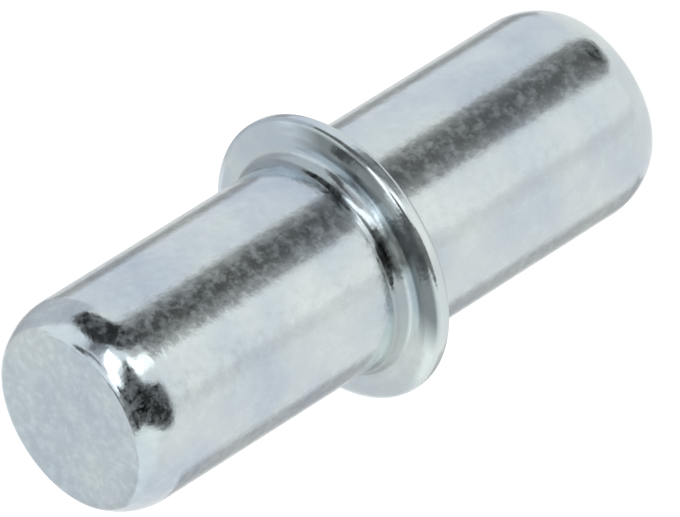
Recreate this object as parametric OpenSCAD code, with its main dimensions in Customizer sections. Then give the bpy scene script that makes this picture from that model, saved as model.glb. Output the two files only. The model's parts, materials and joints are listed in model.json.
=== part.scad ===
// Plug-in shelf support pin with a collar.
// One half pushes into a drilled hole in the cabinet side until the collar
// meets the panel, and the shelf rests on the other half. The pin is
// cold-headed from round steel wire in one piece, so it is one turned form
// about Z. Z = 0 is the collar face that seats on the panel, and the plug
// points down.

/* [Plug] */
// Diameter of the plug half, the same as the drilled hole
plug_d = 5; // [3:0.1:8]
// Reach of the plug below the seating face
plug_len = 7.7; // [5:0.05:14]

/* [Support] */
// Diameter of the half that carries the shelf
support_d = 5; // [3:0.1:8]
// Reach of the support beyond the collar
support_len = 7.7; // [5:0.05:14]

/* [Collar] */
// Height of the collar above the thicker half
collar_rise = 0.9; // [0.7:0.05:2]
// Thickness of the collar along the pin
collar_t = 0.6; // [0.5:0.05:1.6]
// Radius that rolls over each edge of the rim
rim_r = 0.2; // [0.1:0.05:0.4]
// Radius of the crowned face on the side of the shelf
crown_r = 0.7; // [0.5:0.05:1.5]
// Radius in the corner between the collar and each half
root_r = 0.35; // [0.1:0.05:0.5]

/* [Ends] */
// Length over which each end tapers in to find its hole
lead_len = 1; // [0.7:0.05:1.3]
// Radius of the long arc of that taper
lead_r = 1.5; // [1.3:0.1:3]
// Radius where the taper turns over into the flat end face
nose_r = 0.25; // [0.1:0.05:0.4]

/* [Hidden] */
$fn = 180;

collar_d = max(plug_d, support_d) + 2 * collar_rise;
// the rim keeps a narrow land between its two rolled edges
rim = min(rim_r, collar_t / 3);
// and the root radius leaves a flat ring inside them, which seats on the panel
root = min(root_r, (collar_rise - rim) / 2);
// the crown takes what is left beside them, down to half of the collar at most,
// and its arc is never so flat that it would reach into the root
crown_room = 0.9 * (collar_rise - rim - root);
crown_h = min(collar_t / 2, rim + 0.5 * crown_room);
flattest = (pow(crown_room, 2) + pow(crown_h, 2) - pow(rim, 2)) / (2 * (crown_h - rim));
crown = max(1.05 * crown_h, min(crown_r, flattest));
// the rim circle touches the crown's circle from inside
crown_run = sqrt(pow(crown - rim, 2) - pow(crown - crown_h, 2));
// the long arc is always longer than the taper, so it meets the wall smoothly
lead = max(lead_r, 1.2 * lead_len);
// the nose circle touches the long arc from inside, so their centres are
// lead - nose_r apart, and the direction between them fixes where they meet
nose_dy = (lead_len - nose_r) / (lead - nose_r);
nose_dx = sqrt(1 - nose_dy * nose_dy);
nose_h = nose_r * (1 - nose_dy);

// Half section of one end: its flat face is on y = 0, and the straight wall
// starts at y = lead_len
module end_section(r) {
    face_x = r - lead + (lead - nose_r) * nose_dx;
    nose_x = face_x + nose_r * nose_dx;

    polygon([[0, 0], [face_x, 0], [nose_x, nose_h],
             [r, lead_len], [0, lead_len]]);
    // nose
    intersection() {
        translate([face_x, nose_r]) circle(nose_r);
        translate([face_x, 0]) square([nose_x - face_x, nose_h]);
    }
    // long arc, tangent to the nose and to the wall
    intersection() {
        translate([r - lead, lead_len]) circle(lead);
        translate([0, nose_h]) square([r, lead_len - nose_h]);
    }
}

// Half section of one half of the pin, from its end face on y = 0 up to the
// collar, with the root radius in the corner
module half_section(d, len) {
    end_section(d / 2);
    translate([0, lead_len]) square([d / 2, len - lead_len]);
    difference() {
        translate([0, len - root]) square([d / 2 + root, root]);
        translate([d / 2 + root, len - root]) circle(root);
    }
}

// Half section of the collar, standing on its flat seating face, with its
// crowned face up
module collar_section() {
    rim_x = collar_d / 2 - rim;
    crown_x = rim_x - crown_run;
    meet_x = crown_x + crown_run * crown / (crown - rim);
    meet_y = collar_t - crown * (crown_h - rim) / (crown - rim);

    square([crown_x, collar_t]);
    square([rim_x, collar_t - crown_h]);
    translate([0, rim]) square([collar_d / 2, collar_t - crown_h - rim]);
    translate([0, collar_t - crown_h]) square([meet_x, meet_y - collar_t + crown_h]);
    // rolled edge of the seating face
    translate([rim_x, rim]) circle(rim);
    // rolled edge of the crowned face
    intersection() {
        translate([rim_x, collar_t - crown_h]) circle(rim);
        translate([meet_x, collar_t - crown_h]) square([rim, rim]);
    }
    // crown, tangent to the rolled edge and to the flat face
    intersection() {
        translate([crown_x, collar_t - crown]) circle(crown);
        translate([crown_x, meet_y]) square([meet_x - crown_x, collar_t - meet_y]);
    }
}

module shelf_pin() {
    color([0.74, 0.78, 0.80])
    rotate_extrude() {
        translate([0, -plug_len]) half_section(plug_d, plug_len);
        collar_section();
        translate([0, collar_t + support_len]) mirror([0, 1])
            half_section(support_d, support_len);
    }
}

shelf_pin();
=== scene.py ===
"""Shelf support pin of bright zinc-plated steel, standing on a plain pale floor.

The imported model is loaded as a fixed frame. The pin is turned again here by
Geometry Nodes, from the same sizes, as one smooth lathe form that can carry a
mirror-bright plated finish.
"""
import json
import math

import bmesh
import bpy
from bpy.props import FloatProperty, FloatVectorProperty, IntProperty, PointerProperty
from mathutils import Matrix, Vector


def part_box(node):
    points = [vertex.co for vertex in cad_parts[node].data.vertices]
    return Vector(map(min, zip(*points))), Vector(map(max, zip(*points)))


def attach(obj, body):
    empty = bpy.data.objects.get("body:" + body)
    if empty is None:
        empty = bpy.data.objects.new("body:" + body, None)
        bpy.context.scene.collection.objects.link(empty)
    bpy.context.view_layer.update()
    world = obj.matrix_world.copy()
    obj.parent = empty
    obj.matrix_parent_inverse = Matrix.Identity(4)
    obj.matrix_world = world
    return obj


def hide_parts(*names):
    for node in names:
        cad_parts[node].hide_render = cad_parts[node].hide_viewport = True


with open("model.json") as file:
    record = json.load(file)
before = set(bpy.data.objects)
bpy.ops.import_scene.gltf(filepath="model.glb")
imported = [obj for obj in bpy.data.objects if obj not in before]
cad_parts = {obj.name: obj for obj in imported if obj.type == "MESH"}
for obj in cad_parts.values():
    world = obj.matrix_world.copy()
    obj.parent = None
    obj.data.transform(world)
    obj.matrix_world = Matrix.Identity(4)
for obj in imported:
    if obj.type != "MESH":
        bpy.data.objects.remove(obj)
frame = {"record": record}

bl_info = {
    "name": "Shelf Support Pin",
    "version": (1, 0, 0),
    "blender": (4, 5, 0),
    "location": "3D View > Sidebar > Shelf Pin",
    "description": "Makes a plated shelf support pin and the studio it is shown in",
    "category": "Mesh",
}

MM = 0.001
WHITE = (1.0, 1.0, 1.0, 1.0)
CAD_NODE = "shelf_pin"

MOUNTS = {mount["name"]: mount for mount in frame["record"]["mounts"]}
PIN_LOW, PIN_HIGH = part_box(CAD_NODE)
COLLAR_FRONT_Z = MOUNTS["collar_front"]["pos_m"][2]


def mount_radius(name):
    """Radius of one half of the pin, in metres."""
    return MOUNTS[name]["dims"]["r_mm"] * MM


def linear_colour(hex_code):
    """sRGB hex code such as "#C8D0D4" as a linear RGBA colour."""
    def channel(pair):
        value = int(pair, 16) / 255
        return value / 12.92 if value <= 0.04045 else ((value + 0.055) / 1.055) ** 2.4
    code = hex_code.lstrip("#")
    return (*(channel(code[i:i + 2]) for i in (0, 2, 4)), 1.0)


# ---------------------------------------------------------------- settings

def length(name, description, default):
    """A property that holds a length, shown in the scene's own unit."""
    return FloatProperty(name=name, description=description, default=default,
                         min=0.0, subtype="DISTANCE", unit="LENGTH", precision=5)


def tint(name, description, hex_code):
    """A property that holds a colour."""
    return FloatVectorProperty(name=name, description=description, size=4, min=0.0, max=1.0,
                               subtype="COLOR", default=linear_colour(hex_code))


class PinSizes(bpy.types.PropertyGroup):
    """Sizes of the pin's half section"""
    plug_radius: length("Plug Radius", "Radius of the half that sits in the cabinet side",
                        mount_radius("plug"))
    plug_length: length("Plug Length", "Reach of the plug below the seating face", -PIN_LOW.z)
    support_radius: length("Support Radius", "Radius of the half that carries the shelf",
                           mount_radius("support"))
    support_length: length("Support Length", "Reach of the support beyond the collar",
                           PIN_HIGH.z - COLLAR_FRONT_Z)
    collar_radius: length("Collar Radius", "Outer radius of the collar", PIN_HIGH.x)
    collar_thickness: length("Collar Thickness", "Thickness of the collar along the pin",
                             COLLAR_FRONT_Z)
    rim_radius: length("Rim Radius", "Radius rolled over each edge of the rim", 0.2 * MM)
    crown_radius: length("Crown Radius", "Radius of the crowned face on the shelf's side",
                         0.7 * MM)
    root_radius: length("Root Radius", "Radius in the corner between collar and shank", 0.35 * MM)
    lead_length: length("Lead Length", "Length over which each end tapers in", 1.0 * MM)
    lead_radius: length("Lead Radius", "Radius of the long arc of that taper", 1.5 * MM)
    nose_radius: length("Nose Radius", "Radius between the taper and the end face", 0.25 * MM)
    facet_length: length("Facet Length", "Longest facet along a straight stretch", 0.2 * MM)
    segments: IntProperty(name="Segments", description="Facets round the pin",
                          default=192, min=24, max=360)


# Real zinc crystals are some hundredths of a millimetre across. The flecks, bloom and
# grain are drawn coarser than that, so that they still show with the whole pin in view.
class PlateFinish(bpy.types.PropertyGroup):
    """Colours and grain of the zinc plate"""
    pale_tint: tint("Pale Tint", "Zinc where the clear passivate is thinnest", "#DAE3E1")
    blue_tint: tint("Blue Tint", "Zinc where the clear passivate turns blue", "#C3CED7")
    # Painted shade: this grey darkens the corner beside the collar and one side of the collar's
    # ring
    corner_tint: tint("Corner Tint", "Thin plate in the corner beside the collar", "#7C8487")
    fleck_size: length("Fleck Size", "Width of one duller fleck of the plate", 0.22 * MM)
    bloom_size: length("Bloom Size", "Width of one patch of faint white bloom", 0.26 * MM)
    grain_size: length("Grain Size", "Width of one dimple of the tumbled plate", 0.16 * MM)
    grain_depth: length("Grain Depth", "Depth of that dimple", 0.0032 * MM)
    ripple_size: length("Ripple Size", "Width of the slow waves left by heading the wire", 0.6 * MM)
    ripple_depth: length("Ripple Depth", "Depth of those waves", 0.005 * MM)
    tint_patch: length("Tint Patch", "Width of one patch of passivate colour", 2.5 * MM)


class StudioSettings(bpy.types.PropertyGroup):
    """Floor and camera"""
    floor_tint: tint("Floor Tint", "Colour of the floor and the backdrop", "#F4F6F6")
    camera_elevation: FloatProperty(name="Camera Elevation",
                                    description="Height of the camera above the horizon",
                                    default=math.radians(34.5), subtype="ANGLE", unit="ROTATION")
    camera_roll: FloatProperty(name="Camera Roll",
                               description="Turn of the camera about its own line of sight",
                               default=math.radians(-122.08), subtype="ANGLE", unit="ROTATION")
    camera_lens: FloatProperty(name="Camera Lens", description="Focal length in millimetres",
                               default=600.0, min=50.0, max=2000.0)
    camera_distance: length("Camera Distance", "From the camera to the collar", 247.0 * MM)
    camera_aim: FloatVectorProperty(name="Camera Aim",
                                    description="Shift of the view to the right and up",
                                    default=(0.23 * MM, 0.0), size=2, subtype="TRANSLATION",
                                    unit="LENGTH")


# ------------------------------------------------------------------- nodes

def fill_inputs(tree, node, inputs):
    """Sets or links the named or numbered inputs of a node."""
    for key, value in inputs.items():
        socket = node.inputs[key]
        if isinstance(value, bpy.types.NodeSocket):
            tree.links.new(value, socket)
        else:
            socket.default_value = value


def add_node(tree, kind, inputs=None, **settings):
    """Adds a node, sets its properties and fills its inputs."""
    node = tree.nodes.new(kind)
    for name, value in settings.items():
        setattr(node, name, value)
    fill_inputs(tree, node, inputs or {})
    return node


# --------------------------------------------------------------- materials

def new_material(name):
    """An empty node material and its output node."""
    material = bpy.data.materials.new(name)
    material.use_nodes = True
    material.node_tree.nodes.clear()
    return material, add_node(material.node_tree, "ShaderNodeOutputMaterial")


# Noise keeps mostly between 0.3 and 0.7. Each of these stretches of it is drawn out.
TINT_STRETCH = (0.35, 0.65)
FLECK_STRETCH = (0.35, 0.75)
BLOOM_STRETCH = (0.45, 0.68)
BRIGHT_ROUGHNESS = 0.1
FLECK_ROUGHNESS = 0.25
# How much of the light the plate still reflects as metal
CLEAN_METAL = 1.0
WORN_METAL = 0.88
BLOOM_METAL = 0.76
# How much of the painted shade grey goes into the corner beside the collar
CORNER_SHADE_SHARE = 0.52


def faded(tree, share, *limits):
    """The share, faded to 0 wherever a value falls short of one of the limits.

    Each limit is a value, where it starts to count and where it counts in full.
    """
    for value, start, full in limits:
        counted = add_node(tree, "ShaderNodeMapRange", {
            "Value": value, "From Min": start, "From Max": full})
        share = add_node(tree, "ShaderNodeMath", {
            0: share, 1: counted.outputs["Result"]}, operation="MULTIPLY").outputs[0]
    return share


def painted_shade_mask(tree, axes, reach, sizes):
    """Where painted shade darkens the plate towards grey.

    That is in the corner beside the collar and, on one side of the pin, on the
    ring between that corner and the rim.
    """
    above = add_node(tree, "ShaderNodeMath", {
        0: axes["Z"], 1: sizes.collar_thickness}, operation="SUBTRACT")
    below = add_node(tree, "ShaderNodeMath", {0: axes["Z"], 1: -1.0}, operation="MULTIPLY")
    # from the nearer face of the collar, along the pin
    away = add_node(tree, "ShaderNodeMath", {
        0: above.outputs[0], 1: below.outputs[0]}, operation="MAXIMUM").outputs[0]
    shank = sizes.support_radius
    root = sizes.root_radius
    rim = sizes.collar_radius - sizes.rim_radius
    # the corner ends along the shank and partway up the root radius
    corner = faded(tree, CORNER_SHADE_SHARE,
                   (away, root + 0.12 * MM, root - 0.15 * MM),
                   (reach, shank + 0.64 * root, shank + 0.46 * root))
    # the ring ends in the thickness of the collar, at the root, at the rim and at the side
    ring = faded(tree, 1.0,
                 (away, -0.26 * MM, -0.16 * MM),
                 (reach, shank + 1.15 * root, shank + 1.4 * root),
                 (reach, rim + 0.2 * MM, rim + 0.12 * MM),
                 (axes["Y"], -1.5 * MM, -2.3 * MM))
    return add_node(tree, "ShaderNodeMath", {0: corner, 1: ring},
                    operation="MAXIMUM").outputs[0]


def zinc_plate(finish, sizes):
    """Electroplated zinc over cold-headed steel, tumbled in the barrel.

    Bright and near mirror-like, with a fine dimpled grain that frays the edge
    of every reflection, and a clear passivate that drifts from grey to blue.
    """
    material, output = new_material("zinc_plate_barrel_bright")
    tree = material.node_tree
    place = add_node(tree, "ShaderNodeTexCoord").outputs["Object"]
    axes = add_node(tree, "ShaderNodeSeparateXYZ", {"Vector": place}).outputs
    flat = add_node(tree, "ShaderNodeCombineXYZ", {"X": axes["X"], "Y": axes["Y"]})
    reach = add_node(tree, "ShaderNodeVectorMath", {0: flat.outputs["Vector"]},
                     operation="LENGTH").outputs["Value"]
    noise = {}
    for name, size, detail, roughness in (
            ("tint", finish.tint_patch, 2.0, 0.5),
            ("fleck", finish.fleck_size, 3.0, 0.6),
            ("bloom", finish.bloom_size, 4.0, 0.7),
            ("ripple", finish.ripple_size, 1.0, 0.5),
            ("grain", finish.grain_size, 2.0, 0.55)):
        noise[name] = add_node(tree, "ShaderNodeTexNoise", {
            "Vector": place, "Scale": 1 / size, "Detail": detail, "Roughness": roughness},
            label=name).outputs["Fac"]

    drift = add_node(tree, "ShaderNodeMapRange", {
        "Value": noise["tint"], "From Min": TINT_STRETCH[0], "From Max": TINT_STRETCH[1]})
    passivate = add_node(tree, "ShaderNodeMix", {
        "Factor": drift.outputs["Result"], "A": finish.pale_tint, "B": finish.blue_tint},
        data_type="RGBA")
    # Painted shade: grey mixed in at the corner beside the collar and on one side of its ring
    colour = add_node(tree, "ShaderNodeMix", {
        "Factor": painted_shade_mask(tree, axes, reach, sizes), "A": passivate.outputs["Result"],
        "B": finish.corner_tint}, data_type="RGBA")
    roughness = add_node(tree, "ShaderNodeMapRange", {
        "Value": noise["fleck"], "From Min": FLECK_STRETCH[0], "From Max": FLECK_STRETCH[1],
        "To Min": BRIGHT_ROUGHNESS, "To Max": FLECK_ROUGHNESS})
    # Faint white bloom and, on the collar, wear from the barrel scatter a little light.
    # That shows only where the metal reflects something dark.
    worn = add_node(tree, "ShaderNodeMapRange", {
        "Value": reach, "From Min": sizes.support_radius + 0.05 * MM,
        "From Max": sizes.support_radius + 0.3 * MM, "To Min": CLEAN_METAL, "To Max": WORN_METAL})
    metal = add_node(tree, "ShaderNodeMapRange", {
        "Value": noise["bloom"], "From Min": BLOOM_STRETCH[0], "From Max": BLOOM_STRETCH[1],
        "To Min": worn.outputs["Result"], "To Max": BLOOM_METAL})
    waves = add_node(tree, "ShaderNodeBump", {
        "Height": noise["ripple"], "Distance": finish.ripple_depth})
    dimples = add_node(tree, "ShaderNodeBump", {
        "Height": noise["grain"], "Distance": finish.grain_depth,
        "Normal": waves.outputs["Normal"]})
    shader = add_node(tree, "ShaderNodeBsdfPrincipled", {
        "Base Color": colour.outputs["Result"], "Metallic": metal.outputs["Result"],
        "Roughness": roughness.outputs["Result"], "Normal": dimples.outputs["Normal"]})
    tree.links.new(shader.outputs["BSDF"], output.inputs["Surface"])
    return material


# The board is nearly white to the eye, and the little that it scatters keeps the shadow
BOARD_GLOW = 0.92
BOARD_SCATTER = (0.16, 0.16, 0.16, 1.0)


def floor_paint(studio):
    """Matt white board, which stays white to the eye but keeps a soft shadow."""
    material, output = new_material("studio_board_matt_white")
    tree = material.node_tree
    path = add_node(tree, "ShaderNodeLightPath")
    in_metal = add_node(tree, "ShaderNodeMath", {
        0: path.outputs["Is Glossy Ray"], 1: path.outputs["Is Transmission Ray"]},
        operation="MAXIMUM")
    seen = add_node(tree, "ShaderNodeMath", {
        0: path.outputs["Is Camera Ray"], 1: in_metal.outputs[0]}, operation="MAXIMUM")
    board = add_node(tree, "ShaderNodeBsdfDiffuse", {"Color": studio.floor_tint})
    glow = add_node(tree, "ShaderNodeEmission", {"Color": WHITE, "Strength": BOARD_GLOW})
    faint = add_node(tree, "ShaderNodeBsdfDiffuse", {"Color": BOARD_SCATTER})
    white = add_node(tree, "ShaderNodeAddShader", {
        0: glow.outputs["Emission"], 1: faint.outputs["BSDF"]})
    mix = add_node(tree, "ShaderNodeMixShader", {
        0: seen.outputs[0], 1: board.outputs["BSDF"], 2: white.outputs["Shader"]})
    tree.links.new(mix.outputs["Shader"], output.inputs["Surface"])
    return material


def card_paint(name, colour, strength):
    """A card that shows one even brightness in the metal and fades out at its soft edges."""
    material, output = new_material(name)
    tree = material.node_tree
    cover = add_node(tree, "ShaderNodeAttribute", attribute_name="cover")
    clear = add_node(tree, "ShaderNodeBsdfTransparent")
    glow = add_node(tree, "ShaderNodeEmission", {"Color": colour, "Strength": strength})
    mix = add_node(tree, "ShaderNodeMixShader", {
        0: cover.outputs["Fac"], 1: clear.outputs["BSDF"], 2: glow.outputs["Emission"]})
    tree.links.new(mix.outputs["Shader"], output.inputs["Surface"])
    return material


# --------------------------------------------------------------------- pin

# The tree's inputs by label, each with the size that sets it
PIN_INPUTS = {name.replace("_", " ").title(): name for name in PinSizes.__annotations__}
ARC_FACETS = 14
WELD_DISTANCE = 0.0005 * MM

# Measures of the half section, worked out one step a line: what it is called, how it
# is worked out, and from which inputs, earlier steps or numbers
SECTION_STEPS = (
    # The nose arc touches the long arc of the taper from inside. The line through
    # that point, tangent to both, is the chamfer that the two radii round off.
    ("lead gap", "SUBTRACT", "Lead Radius", "Nose Radius"),
    ("lead rise", "SUBTRACT", "Lead Length", "Nose Radius"),
    ("slope sine", "DIVIDE", "lead rise", "lead gap"),
    ("slope", "ARCSINE", "slope sine", 0.0),
    ("half slope", "MULTIPLY", "slope", 0.5),
    ("half slope tangent", "TANGENT", "half slope", 0.0),
    ("lead tangent", "MULTIPLY", "Lead Radius", "half slope tangent"),
    ("wall drop", "SUBTRACT", "Lead Length", "lead tangent"),
    ("nose turn", "SUBTRACT", math.pi / 4, "half slope"),
    ("nose turn tangent", "TANGENT", "nose turn", 0.0),
    ("nose tangent", "MULTIPLY", "Nose Radius", "nose turn tangent"),
    ("slope cosine", "COSINE", "slope", 0.0),
    ("lead run", "MULTIPLY", "lead gap", "slope cosine"),
    ("face run", "ADD", "lead run", "nose tangent"),
    ("face inset", "SUBTRACT", "Lead Radius", "face run"),
    # The crown of the collar meets its rolled edge halfway down in the same way
    ("half collar", "MULTIPLY", "Collar Thickness", 0.5),
    ("crown gap", "SUBTRACT", "Crown Radius", "Rim Radius"),
    ("crown rise", "SUBTRACT", "Crown Radius", "half collar"),
    ("lean cosine", "DIVIDE", "crown rise", "crown gap"),
    ("lean", "ARCCOSINE", "lean cosine", 0.0),
    ("half lean", "MULTIPLY", "lean", 0.5),
    ("half lean tangent", "TANGENT", "half lean", 0.0),
    ("crown tangent", "MULTIPLY", "Crown Radius", "half lean tangent"),
    ("lean sine", "SINE", "lean", 0.0),
    ("crown gap run", "MULTIPLY", "crown gap", "lean sine"),
    ("crown run", "ADD", "Rim Radius", "crown gap run"),
    ("crown inset", "SUBTRACT", "crown run", "crown tangent"),
    ("rim turn", "SUBTRACT", math.pi / 4, "half lean"),
    ("rim turn tangent", "TANGENT", "rim turn", 0.0),
    ("rim tangent", "MULTIPLY", "Rim Radius", "rim turn tangent"),
    # Where the corners lie
    ("top", "ADD", "Collar Thickness", "Support Length"),
    ("top wall", "SUBTRACT", "top", "wall drop"),
    ("bottom", "MULTIPLY", "Plug Length", -1.0),
    ("bottom wall", "ADD", "bottom", "wall drop"),
    ("rim height", "ADD", "half collar", "rim tangent"),
    ("crown edge", "SUBTRACT", "Collar Radius", "crown inset"),
    ("support face", "SUBTRACT", "Support Radius", "face inset"),
    ("plug face", "SUBTRACT", "Plug Radius", "face inset"),
)
# Corners of the half section from the top of the axis to its bottom: distance from the
# axis, height, and the radius that rounds the corner
SECTION_CORNERS = (
    (0.0, "top", 0.0),
    ("support face", "top", "Nose Radius"),
    ("Support Radius", "top wall", "Lead Radius"),
    ("Support Radius", "Collar Thickness", "Root Radius"),
    ("crown edge", "Collar Thickness", "Crown Radius"),
    ("Collar Radius", "rim height", "Rim Radius"),
    ("Collar Radius", 0.0, "Rim Radius"),
    ("Plug Radius", 0.0, "Root Radius"),
    ("Plug Radius", "bottom wall", "Lead Radius"),
    ("plug face", "bottom", "Nose Radius"),
    (0.0, "bottom", 0.0),
)


def lathe_tree(material):
    """Geometry Nodes that draw the half section, round its corners and turn it about Z."""
    tree = bpy.data.node_groups.new("turned_pin", "GeometryNodeTree")
    for label, name in PIN_INPUTS.items():
        kind = "NodeSocketInt" if name == "segments" else "NodeSocketFloat"
        tree.interface.new_socket(label, in_out="INPUT", socket_type=kind)
    tree.interface.new_socket("Geometry", in_out="OUTPUT", socket_type="NodeSocketGeometry")
    inputs = add_node(tree, "NodeGroupInput").outputs
    measures = {label: inputs[label] for label in PIN_INPUTS}
    for name, operation, *operands in SECTION_STEPS:
        first, second = (measures.get(operand, operand) for operand in operands)
        measures[name] = add_node(tree, "ShaderNodeMath", {0: first, 1: second},
                                  operation=operation, label=name).outputs[0]

    # Each of the three fields picks its value by the number of the corner
    number = add_node(tree, "GeometryNodeInputIndex").outputs[0]
    fields = []
    for column in zip(*SECTION_CORNERS):
        switch = add_node(tree, "GeometryNodeIndexSwitch", {"Index": number}, data_type="FLOAT")
        while len(switch.index_switch_items) < len(column):
            switch.index_switch_items.new()
        fill_inputs(tree, switch, {
            place: measures.get(operand, operand) for place, operand in enumerate(column, 1)})
        fields.append(switch.outputs[0])
    across, along, rounding = fields

    # Half section: x is how far inside the turning circle, y runs down the pin
    turning_radius = measures["Collar Radius"]
    corners = add_node(tree, "GeometryNodeMeshLine", {"Count": len(SECTION_CORNERS)})
    outline = add_node(tree, "GeometryNodeMeshToCurve", {"Mesh": corners.outputs["Mesh"]})
    inward = add_node(tree, "ShaderNodeMath", {0: across, 1: turning_radius},
                      operation="SUBTRACT")
    down = add_node(tree, "ShaderNodeMath", {0: along, 1: -1.0}, operation="MULTIPLY")
    where = add_node(tree, "ShaderNodeCombineXYZ", {
        "X": inward.outputs[0], "Y": down.outputs[0]})
    placed = add_node(tree, "GeometryNodeSetPosition", {
        "Geometry": outline.outputs["Curve"], "Position": where.outputs["Vector"]})
    rounded = add_node(tree, "GeometryNodeFilletCurve", {
        "Curve": placed.outputs["Geometry"], "Radius": rounding, "Count": ARC_FACETS}, mode="POLY")

    # Straight stretches get a ring at least every facet length
    here = add_node(tree, "GeometryNodeInputPosition").outputs[0]
    next_point = add_node(tree, "GeometryNodeOffsetPointInCurve", {"Offset": 1})
    there = add_node(tree, "GeometryNodeFieldAtIndex", {
        "Index": next_point.outputs["Point Index"], "Value": here},
        data_type="FLOAT_VECTOR", domain="POINT")
    stretch = add_node(tree, "ShaderNodeVectorMath", {0: here, 1: there.outputs[0]},
                       operation="DISTANCE")
    facets = add_node(tree, "ShaderNodeMath", {
        0: stretch.outputs["Value"], 1: measures["Facet Length"]}, operation="DIVIDE")
    cuts = add_node(tree, "ShaderNodeMath", {0: facets.outputs[0]}, operation="FLOOR")
    rings = add_node(tree, "GeometryNodeSubdivideCurve", {
        "Curve": rounded.outputs["Curve"], "Cuts": cuts.outputs[0]})

    circle = add_node(tree, "GeometryNodeCurvePrimitiveCircle", {
        "Resolution": measures["Segments"], "Radius": turning_radius}, mode="RADIUS")
    turned = add_node(tree, "GeometryNodeCurveToMesh", {
        "Curve": circle.outputs["Curve"], "Profile Curve": rings.outputs["Curve"]})
    # The poles and the shared ends of neighbouring arcs become single points
    closed = add_node(tree, "GeometryNodeMergeByDistance", {
        "Geometry": turned.outputs["Mesh"], "Distance": WELD_DISTANCE})
    smooth = add_node(tree, "GeometryNodeSetShadeSmooth", {"Geometry": closed.outputs["Geometry"]})
    real = add_node(tree, "GeometryNodeRealizeInstances", {"Geometry": smooth.outputs["Geometry"]})
    dressed = add_node(tree, "GeometryNodeSetMaterial", {
        "Geometry": real.outputs["Geometry"], "Material": material})
    add_node(tree, "NodeGroupOutput", {"Geometry": dressed.outputs["Geometry"]})
    return tree


def add_object(name, data):
    """Links a new object at the origin, with that mesh, lamp or camera."""
    thing = bpy.data.objects.new(name, data)
    bpy.context.scene.collection.objects.link(thing)
    return thing


def make_pin(sizes, material):
    """Runs the lathe tree once and keeps its result as a plain mesh."""
    tree = lathe_tree(material)
    pin = add_object("plated_pin", bpy.data.meshes.new("plated_pin"))
    lathe = pin.modifiers.new("Lathe", "NODES")
    lathe.node_group = tree
    for item in tree.interface.items_tree:
        if item.in_out == "INPUT":
            lathe[item.identifier] = getattr(sizes, PIN_INPUTS[item.name])
    depsgraph = bpy.context.evaluated_depsgraph_get()
    turned = bpy.data.meshes.new_from_object(pin.evaluated_get(depsgraph), depsgraph=depsgraph)
    pin.modifiers.remove(lathe)
    pin.data = turned
    turned.name = "plated_pin"
    return pin


# ------------------------------------------------------------------- stage

FLOOR_RADIUS = 700 * MM
FLOOR_SIDES = 96
LAMP_WIDTH = 160 * MM
LAMP_WATTS = 0.25
LAMP_PLACE = Vector((-60, 40, 220)) * MM
SURROUND_TINT = linear_colour("#FCFFFF")
# What the camera points at, just above the middle of the collar
AIM_POINT = Vector((0, 0, 0.35)) * MM
DOME_RADIUS = 250 * MM
DOME_HEART = Vector((0, 0, 4 * MM))
LAYER_GAP = 3 * MM
DOME_STEP = 6  # degrees
ALL_ROUND = (-180, 180)
COOL_WHITE = linear_colour("#F8FBFF")
BLUE_WHITE = linear_colour("#F6F8FF")

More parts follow.
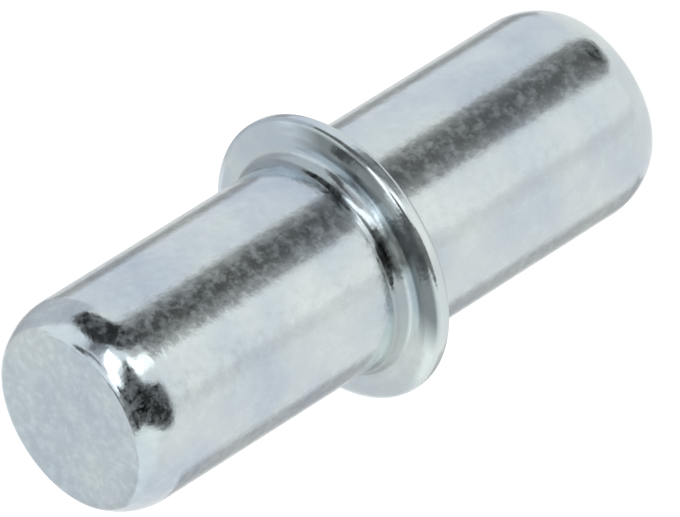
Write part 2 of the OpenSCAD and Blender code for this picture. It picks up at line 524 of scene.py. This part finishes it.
# Cards on a dome round the pin: name, layer, brightness, width of the soft edge
# in degrees, and rows of elevation, first azimuth and last azimuth in degrees.
# Azimuth counts from the camera's side (-Y) towards +X. A higher layer hangs
# in front of a lower one.
CARDS = (
    # Below the floor's level. The straight halves mirror the bowl with its dark band, and
    # the start of each taper mirrors the runners.
    ("bowl", 0, 0.92, 0, ((-90, *ALL_ROUND), (-60, *ALL_ROUND), (-30, *ALL_ROUND),
                          (-3, *ALL_ROUND))),
    ("bowl_edge_left", 1, 0.52, 12, ((-46, -168, -119), (-30, -168, -119))),
    ("bowl_behind_left", 1, 0.3, 8, ((-46, -186, -168), (-30, -186, -168))),
    ("bowl_left", 1, 0.84, 6, ((-60, -56, -34), (-28, -56, -34))),
    ("bowl_front", 1, 1.0, 8, ((-60, -40, 8), (-28, -40, 8))),
    ("band", 2, 0.28, 8, ((-68, 28, 80), (-58, 12, 74), (-50, 6, 67), (-42, 6, 63),
                          (-28, 6, 62))),
    ("band_core", 3, 0.15, 14, ((-62, 18, 62), (-54, 16, 56), (-45, 16, 54), (-28, 16, 54))),
    ("band_heart", 4, 0.03, 12, ((-63, 26, 66), (-54, 22, 61), (-43, 26, 54))),
    ("bowl_edge_right", 2, 0.4, 8, ((-46, 126, 154), (-30, 126, 154))),
    ("bowl_behind_right", 1, 0.8, 4, ((-46, 150, 182), (-30, 150, 182))),
    ("runner_soft_left", 1, 0.42, 8, ((-28, -50, -14), (-19, -54, -12))),
    ("runner_dark_left", 2, 0.03, 5, ((-21, -54, -12), (-12, -58, -9), (-3, -57, -8))),
    ("runner_white", 3, 1.7, 4, ((-30, 1, 18), (-3, 1, 19))),
    ("runner_grey", 2, 0.6, 5, ((-30, 10, 30), (-3, 14, 33))),
    ("runner_dark", 4, 0.06, 4, ((-33, 25, 48), (-14, 24, 48), (-7, 27, 48), (-3, 30, 48))),
    ("runner_black", 5, 0.03, 4, ((-28, 42, 58), (-23, 42, 60), (-20, 42, 80), (-16, 42, 90),
                                  (-3, 42, 92))),
    # Standing round the pin. The collar and the rest of each taper mirror these.
    ("wall_left", 1, 0.9, 0, ((-4, -180, -60), (10, -180, -60))),
    ("wall_back_left", 2, 0.76, 12, ((18, 175, 210), (52, 175, 210))),
    ("corner_left", 3, 0.7, 10, ((-4, -182, -136), (42, -176, -136))),
    ("corner_right", 2, 0.74, 10, ((8, 116, 178), (42, 122, 176))),
    ("flag_left", 2, 0.03, 5, (
        (-4, -57, -8), (4, -55, -5), (9, -53, 24), (13, -51, 22), (18, -50, 16), (28, -46, 13),
        (34, -50, 2), (40, -56, 2), (50, -62, 6), (60, -73, 8), (68, -90, 5))),
    ("flag_left_black", 3, 0.0, 6, ((17, -34, 14), (28, -34, 11), (37, -34, -4))),
    ("card_low", 3, 2.4, 4, ((-4, -1, 19), (2, 1, 25), (5, 4, 21))),
    ("card_high", 4, 2.6, 4, (
        (15, 22, 42), (18, 19, 41), (28, 17, 40), (34, 4, 38), (40, 3, 31), (50, 5, 27),
        (62, 5, 26), (70, 2, 34), (78, -1, 46))),
    ("flag_right", 3, 0.03, 5, ((-4, 27, 90), (4, 31, 90), (9, 38, 83), (14, 42, 75),
                                (19, 44, 62))),
    ("flag_right_tall", 2, 0.24, 5, ((13, 40, 61), (26, 40, 60), (36, 40, 66), (46, 32, 66),
                                     (60, 30, 70))),
    ("card_grey", 3, 0.8, 8, ((33, 34, 66), (38, 30, 66), (46, 16, 46), (60, 16, 48))),
    ("card_soft", 3, 0.85, 8, ((59, 12, 78), (78, 12, 98))),
)
# Cards on the same dome: name, colour, layer, brightness, and columns of azimuth, lowest
# and highest elevation
ARCHES = (
    ("flag_over", WHITE, 3, 0.12, (
        (56, 46, 58), (70, 46, 60), (90, 52, 65), (110, 57, 68), (130, 59, 67), (146, 61, 62),
        (162, 61, 62), (171, 60, 62), (177, 53, 74), (190, 55, 76), (210, 62, 84), (230, 68, 88),
        (250, 69, 88), (270, 65, 88), (290, 58, 88), (310, 54, 86), (335, 56, 84), (352, 62, 80))),
    ("card_over", WHITE, 5, 1.5, (
        (-20, 86, 90), (10, 80, 90), (40, 76, 90), (60, 83, 90), (100, 85, 90), (130, 82, 90),
        (175, 70, 90))),
    ("wall_back", COOL_WHITE, 1, 0.775, ((148, 18, 52), (180, 18, 52), (212, 18, 52))),
)
# Walls and mats that lean to blue, given as in the first list
BLUE_CARDS = (
    ("bowl_right", 1, 0.9, 8, ((-50, 58, 134), (-28, 58, 134))),
    ("runner_blue", 1, 0.66, 6, ((-30, 82, 150), (-3, 82, 150))),
    ("runner_blue_back", 1, 0.5, 6, ((-30, 132, 164), (-3, 132, 164))),
    ("wall_right", 1, 0.68, 4, ((-4, 84, 164), (10, 84, 164))),
)


def on_dome(azimuth, elevation, layer):
    """A point on the dome in that direction from the pin, in degrees."""
    level, height = math.radians(azimuth), math.radians(elevation)
    reach = DOME_RADIUS - layer * LAYER_GAP
    return DOME_HEART + reach * Vector((math.sin(level) * math.cos(height),
                                        -math.cos(level) * math.cos(height),
                                        math.sin(height)))


def fine_steps(edge, other):
    """The edge with points added, so that neither edge has a step longer than the dome's."""
    fine = [edge[0]]
    for start, stop, other_start, other_stop in zip(edge, edge[1:], other, other[1:]):
        stride = max(math.dist(start, stop), math.dist(other_start, other_stop))
        count = math.ceil(stride / DOME_STEP)
        fine += [tuple(a + (b - a) * i / count for a, b in zip(start, stop))
                 for i in range(1, count + 1)]
    return fine


def add_stage_piece(name, form, paint):
    """A finished form that belongs to the stage and not to the pin."""
    mesh = bpy.data.meshes.new(name)
    form.to_mesh(mesh)
    form.free()
    mesh.materials.append(paint)
    piece = add_object(name, mesh)
    return piece


def hang_card(name, paint, layer, soft, near_edge, far_edge):
    """A thin card between two edges of (azimuth, elevation), which only the metal sees.

    It fades out over its soft edge at each end of its rows.
    """
    near_edge, far_edge = fine_steps(near_edge, far_edge), fine_steps(far_edge, near_edge)
    width = max(math.dist(near, far) for near, far in zip(near_edge, far_edge))
    count = math.ceil(width / DOME_STEP)
    fade = min(0.5, soft / width)
    shares = sorted({i / count for i in range(count + 1)} | {fade, 1 - fade})
    form = bmesh.new()
    cover = form.verts.layers.float.new("cover")
    rows = []
    for near, far in zip(near_edge, far_edge):
        row = []
        for share in shares:
            vert = form.verts.new(on_dome(*(a + (b - a) * share for a, b in zip(near, far)),
                                          layer))
            vert[cover] = min(1.0, share / fade, (1 - share) / fade) if fade else 1.0
            row.append(vert)
        rows.append(row)
    for row, following in zip(rows, rows[1:]):
        for i in range(len(shares) - 1):
            form.faces.new((row[i], row[i + 1], following[i + 1], following[i]))
    card = add_stage_piece(name, form, paint)
    card.visible_camera = False
    card.visible_diffuse = False
    card.visible_shadow = False
    card.visible_transmission = False


def add_cards():
    """Cards and flags round the pin, which give the metal its dark and bright bands."""
    for cards, colour in ((CARDS, WHITE), (BLUE_CARDS, BLUE_WHITE)):
        for name, layer, brightness, soft, rows in cards:
            paint = card_paint("studio_card_" + name, colour, brightness)
            hang_card(name, paint, layer, soft,
                      [(start, height) for height, start, _ in rows],
                      [(stop, height) for height, _, stop in rows])
    for name, colour, layer, brightness, columns in ARCHES:
        paint = card_paint("studio_card_" + name, colour, brightness)
        hang_card(name, paint, layer, 0,
                  [(azimuth, low) for azimuth, low, _ in columns],
                  [(azimuth, high) for azimuth, _, high in columns])


def add_floor(studio):
    """A round board under the pin."""
    form = bmesh.new()
    bmesh.ops.create_circle(form, cap_ends=True, segments=FLOOR_SIDES, radius=FLOOR_RADIUS,
                            matrix=Matrix.Translation((0, 0, PIN_LOW.z)))
    floor = add_stage_piece("floor", form, floor_paint(studio))
    # the metal sees the bowl of cards in the floor's place
    floor.visible_glossy = False


def add_light():
    """One large soft lamp above, and an even pale surround."""
    lamp = bpy.data.lights.new("soft_lamp", "AREA")
    lamp.shape = "DISK"
    lamp.size = LAMP_WIDTH
    lamp.energy = LAMP_WATTS
    lamp_object = add_object("soft_lamp", lamp)
    lamp_object.location = LAMP_PLACE
    lamp_object.rotation_mode = "QUATERNION"
    lamp_object.rotation_quaternion = (-LAMP_PLACE).to_track_quat("-Z", "Y")
    lamp_object.visible_glossy = False

    world = bpy.data.worlds.new("pale_surround")
    bpy.context.scene.world = world
    world.use_nodes = True
    tree = world.node_tree
    tree.nodes.clear()
    output = add_node(tree, "ShaderNodeOutputWorld")
    pale = add_node(tree, "ShaderNodeBackground", {
        "Color": SURROUND_TINT, "Strength": 1.0})
    tree.links.new(pale.outputs["Background"], output.inputs["Surface"])


def add_camera(studio):
    """A long lens above the collar's level, rolled so that the pin lies across the frame."""
    camera = bpy.data.cameras.new("camera")
    camera.lens = studio.camera_lens
    camera.sensor_width = 36.0
    camera.clip_start = 1 * MM
    camera.clip_end = 5.0
    tilt = Matrix.Rotation(math.pi / 2 - studio.camera_elevation, 4, "X")
    pose = tilt @ Matrix.Rotation(studio.camera_roll, 4, "Z")
    back = Matrix.Translation((*studio.camera_aim, studio.camera_distance))
    camera_object = add_object("camera", camera)
    camera_object.matrix_world = Matrix.Translation(AIM_POINT) @ pose @ back
    bpy.context.scene.camera = camera_object


# --------------------------------------------------------------- operators

class SHELFPIN_OT_add_pin(bpy.types.Operator):
    """Turn the pin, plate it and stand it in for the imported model's pin"""
    bl_idname = "shelfpin.add_pin"
    bl_label = "Plated Pin"
    bl_options = {"REGISTER", "UNDO"}

    def execute(self, context):
        scene = context.scene
        material = zinc_plate(scene.pin_finish, scene.pin_sizes)
        pin = make_pin(scene.pin_sizes, material)
        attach(pin, "root")
        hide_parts(CAD_NODE)
        return {"FINISHED"}


class SHELFPIN_OT_add_stage(bpy.types.Operator):
    """Lay the floor, set the cards and lamps round the pin and point the camera"""
    bl_idname = "shelfpin.add_stage"
    bl_label = "Studio"
    bl_options = {"REGISTER", "UNDO"}

    def execute(self, context):
        studio = context.scene.pin_studio
        add_floor(studio)
        add_cards()
        add_light()
        add_camera(studio)
        context.scene.view_settings.view_transform = "Standard"
        return {"FINISHED"}


class SHELFPIN_PT_tools(bpy.types.Panel):
    """The pin's operators and sizes"""
    bl_idname = "SHELFPIN_PT_tools"
    bl_label = "Shelf Support Pin"
    bl_space_type = "VIEW_3D"
    bl_region_type = "UI"
    bl_category = "Shelf Pin"

    def draw(self, context):
        layout = self.layout
        for operator in OPERATORS:
            layout.operator(operator.bl_idname)
        for group in (context.scene.pin_sizes, context.scene.pin_finish, context.scene.pin_studio):
            box = layout.box()
            for name in group.__annotations__:
                box.prop(group, name)


GROUPS = {"pin_sizes": PinSizes, "pin_finish": PlateFinish, "pin_studio": StudioSettings}
OPERATORS = (SHELFPIN_OT_add_pin, SHELFPIN_OT_add_stage)
CLASSES = (*GROUPS.values(), *OPERATORS, SHELFPIN_PT_tools)


def register():
    """Adds the classes, and one group of settings of each kind to every scene."""
    for cls in CLASSES:
        bpy.utils.register_class(cls)
    for name, group in GROUPS.items():
        setattr(bpy.types.Scene, name, PointerProperty(type=group))


def unregister():
    """Takes out all that register adds."""
    for name in GROUPS:
        delattr(bpy.types.Scene, name)
    for cls in reversed(CLASSES):
        bpy.utils.unregister_class(cls)


def main():
    """Makes the pin and its stage."""
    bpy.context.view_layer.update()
    register()
    bpy.ops.shelfpin.add_pin()
    bpy.ops.shelfpin.add_stage()


if __name__ == "__main__":
    main()
